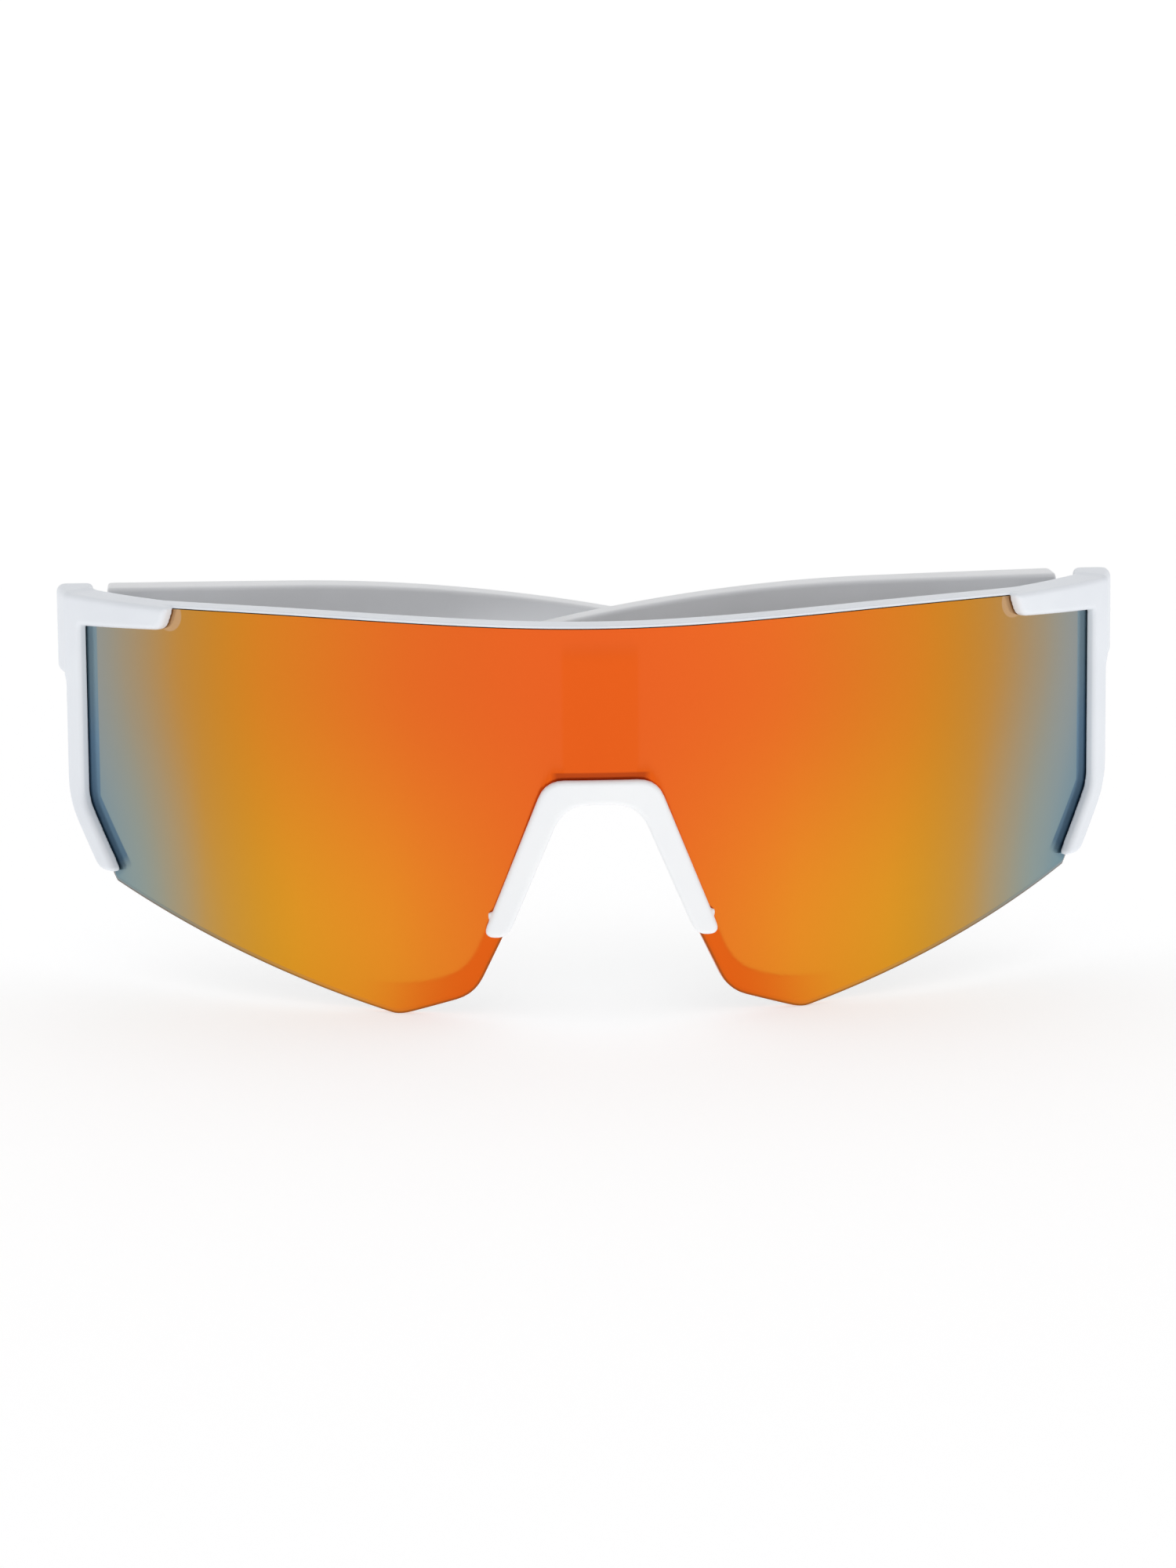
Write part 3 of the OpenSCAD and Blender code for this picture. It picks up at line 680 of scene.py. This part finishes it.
def make_sides():
    """Side bars and end pieces with a fillet where they join. The lens's slot and the pocket for
    the hinge leaf come out; the slot's edges are rounded more at the bar's thin end."""
    low, high = (54, 14, -16), (75.4, 42.4, 25.6)
    slot_gap, soft, toe_soft = 0.1, 0.12, 0.2
    x, y, z = sample_grid(low, high, PITCH)
    back = y - AXIS_Y
    r = np.hypot(x, back)
    u = x * math.cos(TURN) + back * math.sin(TURN)
    field = either(bumper_field(u, z, r), end_piece_field(x, y, z), 1.4)
    past_edge = u - EDGE_U - slot_gap
    side_edge = np.maximum(past_edge, past_edge - (z + EDGE_KNEE) * LEAN)
    slot = np.maximum(np.maximum(side_edge, band(r, GROOVE_R, SEAT_R)), z - lens_top(x) - slot_gap)
    field = both(field, -slot, soft + toe_soft * smooth_step((-12.5 - z) / 1.5))
    pocket = np.maximum(np.maximum(x - IN_FACE - 0.35, END_Y - 5.65 - y), band(z, 12.65, 20.35))
    field = np.maximum(field, -pocket)
    for side, (points, faces) in both_sides(*field_skin(field, low, PITCH)).items():
        mesh_piece(f"side_{side}", points, faces, "front", "front_frame", [WHITE], 70)


# The nose piece

PAD_TURN = leaned(-ARCH_LEAN) @ turned(-PAD_SPLAY)


def on_leg(points):
    """Pad coordinates to their place: splayed about the upright, leaned along the leg, and set
    behind the lens at the middle of the leg."""
    return points @ PAD_TURN.T + PAD_PLACE


def off_leg(points):
    """Places to the right pad's own coordinates: across, out from the lens and up the leg."""
    return (points - PAD_PLACE) @ PAD_TURN


def arch_outline(rise, crown, leg, drop, roundings):
    """Outline of the arch with its legs: how far it rises over the saddle, its width beside the
    inner line at the crown and at a leg's end, how far it drops, and its corners' roundings at
    the crown, at the leg's outer and inner end and at the saddle."""
    corners = [(arch(-rise) + crown, rise), (arch(drop) + leg, -drop), (arch(drop), -drop),
               (ARCH_HALF, 0)]
    right = [(x, z, rounding) for (x, z), rounding in zip(corners, roundings)]
    left = [(-x, z, rounding) for x, z, rounding in right[::-1]]
    return rounded([*right, *left])


def make_nose():
    """Clip-on nose piece. Front arch, web through the lens and rear flange are outlines between
    radii of the tube, with rounded edges; two lugs snap over the lens, and two fins carry the
    pads."""
    low, high = (-17.5, -6, -19.6), (17.5, 10.5, 4.6)
    leg, lug_drop = 3.4, 15.0
    x, y, z = sample_grid(low, high, PITCH)
    r = np.hypot(x, y - AXIS_Y)
    front = arch_outline(3.4, 4.0, leg, LEG_END, (2.6, 1.7, 1.6, 3.4))
    rear = arch_outline(2.6, 2.6, 2.6, LEG_END, (2.2, 0.65, 0.65, 2.2))
    web = arch_outline(0.5, 0.5, 0.5, 16.7, (2.2, 0.1, 0.1, 2.2))
    front = both(outline_distance(x, z, front), band(r, SEAT_R, NOSE_R), 0.7)
    rear = both(outline_distance(x, z, rear), band(r, NOSE_BACK_R, GROOVE_R), 0.4)
    web = both(outline_distance(x, z, web), band(r, NOSE_BACK_R + 0.4, NOSE_R - 0.9), 0.1)
    across, out, up = np.moveaxis(off_leg(np.stack([np.abs(x), y, z], -1)), -1, 0)
    fin = both(both(np.abs(across) - 0.5, np.abs(up) - 4.35, 0.2), band(out, 0, 7.1), 0.2)
    field = either(either(front, web, 0.2), either(rear, fin, 0.4), 0.2)
    past_leg = np.abs(x) - (arch(lug_drop) + leg)
    lug = both(both(band(past_leg, -0.9, 0.6), band(z, -lug_drop - 0.9, -lug_drop), 0.25),
               band(r, SEAT_R, LENS_R + 0.95), 0.25)
    points, faces = field_skin(either(field, lug, 0.3), low, PITCH)
    mesh_piece("nose_arch", points, faces, "front", "nose_bridge", [BRIGHT_PAINTED_CLIP_WHITE], 70)


def make_pads():
    """Soft nose pads: a rounded outline whose size falls with a power of the cosine and whose
    thickness rises with the sine, from one face's middle to the other's."""
    near, far = PAD_OUT
    outline = rounded([(near, -PAD_HALF, 2.6), (far, -PAD_HALF, 3.6), (far, PAD_HALF, 3.6),
                       (near, PAD_HALF, 2.6)], 12)
    centre = outline.mean(0)
    v = np.linspace(-math.pi / 2, math.pi / 2, 33)[:, None]
    size = np.maximum(np.cos(v), 1e-4) ** 0.42
    swell = PAD_SWELL * np.sign(np.sin(v)) * np.abs(np.sin(v)) ** 0.85
    flat = centre + (outline - centre)[None] * size[..., None]
    local = np.stack([np.broadcast_to(swell, flat.shape[:2]), flat[..., 0], flat[..., 1]], -1)
    for side, (points, faces) in both_sides(*swept(on_leg(local)[::-1])).items():
        pad = mesh_piece(f"pad_{side}", points, faces, "front", f"nose_pad_{side}",
                         [RUBBER], 80)


# The arms

def arm_loops(s, margin, end=1.0):
    """Rounded-rectangle sections of an opened right arm at distances s from its hinge end. The
    top falls with the square of the distance past the straight part, width and height slim by a
    smooth step up to the middle, and the tip turns in with the square of the distance. The
    margin sets a section in all round, and end shrinks the last ones to a round tip."""
    s, margin = s[:, None], margin[:, None]
    end = np.broadcast_to(end, len(s))[:, None]
    slim = smooth_step(s / (ARM_L / 2))
    thick, tall = ROOT_THICK - SLIM_THICK * slim, ROOT_TALL - SLIM_TALL * slim
    fall = TIP_FALL * (np.maximum(s - STRAIGHT_L, 0) / (ARM_L - STRAIGHT_L)) ** 2
    turning_l = TURN_IN_SHARE * ARM_L
    turn_in = TURN_IN * (np.maximum(s - (ARM_L - turning_l), 0) / turning_l) ** 2
    half_w, half_h = thick / 2 - margin, tall / 2 - margin
    round_r = np.minimum(0.75, np.minimum(half_w, half_h) * 0.8) * end
    half_w, half_h = half_w * end, half_h * end
    a = np.linspace(0, 2 * math.pi, 49)[None, :-1]
    across = np.sign(np.cos(a + 1e-9)) * (half_w - round_r) + round_r * np.cos(a)
    up = np.sign(np.sin(a + 1e-9)) * (half_h - round_r) + round_r * np.sin(a)
    x = IN_FACE - turn_in + thick / 2 + across
    z = ARM_TOP - fall - tall / 2 + up
    return np.stack([x, np.broadcast_to(END_Y + BUTT_GAP + s, x.shape), z], -1)


def arm_sections():
    """An arm with small chamfers at its root and at the sleeve's mouth. It steps down by a
    millimetre to its core inside the sleeve."""
    plain = np.linspace(0.8, SLEEVE_FROM - 0.15, 70)
    core = np.linspace(SLEEVE_FROM, CORE_TO, 24)
    s = np.concatenate([[0, 0.12, 0.35], plain, [SLEEVE_FROM], core])
    margin = np.concatenate([[0.3, 0.1, 0.02], 0 * plain, [0.08], 0 * core + 1])
    return arm_loops(s, margin)


def sleeve_sections():
    """A sleeve runs up its inner wall, over the mouth and along the outside to its tip, where
    the sections shrink by a cosine as they go on by the sine."""
    inner = np.linspace(CORE_TO + 0.05, SLEEVE_FROM + 0.05, 18)
    mouth = SLEEVE_FROM + np.array([0.05, 0.15, 0.4])
    outer = np.linspace(SLEEVE_FROM + 0.8, ARM_L - TIP_L, 30)
    bend = np.linspace(0, math.pi / 2, 13)[1:]
    tip = ARM_L - TIP_L * (1 - np.sin(bend))
    s = np.concatenate([inner, mouth, outer, tip])
    margin = np.concatenate([0 * inner + 0.95, [0.28, 0.08, 0], 0 * outer, 0 * tip])
    end = np.concatenate([np.ones(len(s) - len(tip)), np.cos(bend) + 1e-3])
    return arm_loops(s, margin, end)


def folded(loops, degrees):
    """Turns an opened right arm about its hinge axis."""
    centre = np.array([*HINGE, 0])
    return (loops - centre) @ turned(degrees).T + centre


def make_arms():
    """Both arms and their rubber sleeves, folded behind the lens."""
    for kind, node, loops, material in (("arm", "temple_arm_", arm_sections(), ARM_WHITE),
                                        ("sleeve", "ear_sleeve_", sleeve_sections(), RUBBER)):
        for side, angle in FOLD.items():
            points, faces = both_sides(*swept(folded(loops, angle)))[side]
            mesh_piece(f"{kind}_{side}", points, faces, f"temple_{side}", node + side,
                       [material], 50)


# Floor, light and camera

def make_stage():
    """White sweep: a flat floor, a quarter circle and an upright wall, as a profile carried
    sideways."""
    half, flat_to, bend_r, wall = 3000, 1500, 700, 3000
    floor_z = cad_box[0][2] / MM - 0.05
    bend = np.linspace(0, math.pi / 2, 17)
    y = np.concatenate([[-half], flat_to + bend_r * np.sin(bend), [flat_to + bend_r]])
    z = np.concatenate([[floor_z], floor_z + bend_r * (1 - np.cos(bend)), [floor_z + wall]])
    x = np.array([-half, half])
    grid = np.stack(np.broadcast_arrays(x[:, None], y[None], z[None]), -1)
    mesh = bpy.data.meshes.new("studio_sweep")
    mesh.from_pydata((grid.reshape(-1, 3) * MM).tolist(), [], grid_faces(*grid.shape[:2]))
    mesh.shade_smooth()
    sweep = bpy.data.objects.new("studio_sweep", mesh)
    bpy.context.scene.collection.objects.link(sweep)
    material, tree, shader = new_material("studio_white", Base_Color=shade(200, 200, 200),
                                          Roughness=0.9, Emission_Color=(1, 1, 1, 1),
                                          Emission_Strength=0.56)
    add_bump(tree, shader, grain(tree, 400), 0.02, 0.02)
    mesh.materials.append(material)


def make_light():
    """One wide, low and soft light in front, which faces the middle of the glasses."""
    data = bpy.data.lights.new("front_light", "AREA")
    data.shape = "RECTANGLE"
    data.size, data.size_y = 1.6, 0.14
    data.energy = 3.0
    lamp = bpy.data.objects.new("front_light", data)
    bpy.context.scene.collection.objects.link(lamp)
    place = Vector((0.3, -1.3, 0.06))
    lamp.location = place
    lamp.rotation_euler = (-place).to_track_quat("-Z", "Y").to_euler()


def make_camera():
    """Camera at the photograph's angle: turned a little to the left, looking down 12 degrees."""
    aim, aim_left, distance = Vector((0, -3.2, 2.7)), 1.743, 900
    turn, rise, roll = (math.radians(v) for v in (-2.58, 12.0, -0.45))
    back = Vector((math.sin(turn) * math.cos(rise), -math.cos(turn) * math.cos(rise),
                   math.sin(rise)))
    level = Vector((math.cos(turn), math.sin(turn), 0))
    right = math.cos(roll) * level + math.sin(roll) * back.cross(level)
    up = back.cross(right)
    place = aim - aim_left * right + distance * back
    data = bpy.data.cameras.new("camera")
    data.lens = 153.09
    data.clip_start, data.clip_end = 0.01, 50
    camera = bpy.data.objects.new("camera", data)
    bpy.context.scene.collection.objects.link(camera)
    camera.matrix_world = Matrix.Translation(place * MM) @ Matrix(
        (right, up, back)).transposed().to_4x4()
    bpy.context.scene.camera = camera


def make_world():
    """White all round, a little darker overhead and dim in front above eye level, so that the
    faces behind the lens are in shade."""
    world = bpy.data.worlds.new("studio")
    world.use_nodes = True
    tree = world.node_tree
    way = add_node(tree, "ShaderNodeTexCoord").outputs["Generated"]
    split = add_node(tree, "ShaderNodeSeparateXYZ", {"Vector": way})
    sky = ramp(tree, split.outputs["Z"], [(0.0, (0.96, 0.96, 0.96, 1)), (0.9, (0.78, 0.78, 0.78, 1))])
    in_front = times(tree, between(tree, split.outputs["Y"], 0.0, -0.5),
                     between(tree, split.outputs["Z"], 0.1, 0.4))
    dimmed = blend(tree, in_front, sky, (0.4, 0.4, 0.41, 1))
    tree.links.new(dimmed, tree.nodes["Background"].inputs["Color"])
    bpy.context.scene.world = world


def dress_hinges():
    """The hinge leaves and screws are the CAD nodes, in brushed steel."""
    for node in ("hinge_front_", "hinge_arm_", "hinge_screw_"):
        for side in FOLD:
            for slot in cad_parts[node + side].material_slots:
                slot.material = STEEL


make_camera()
make_world()
make_stage()
make_light()
bpy.context.scene.view_settings.view_transform = "Standard"

make_lens()
make_rail()
make_sides()
make_nose()
make_pads()
make_arms()
dress_hinges()
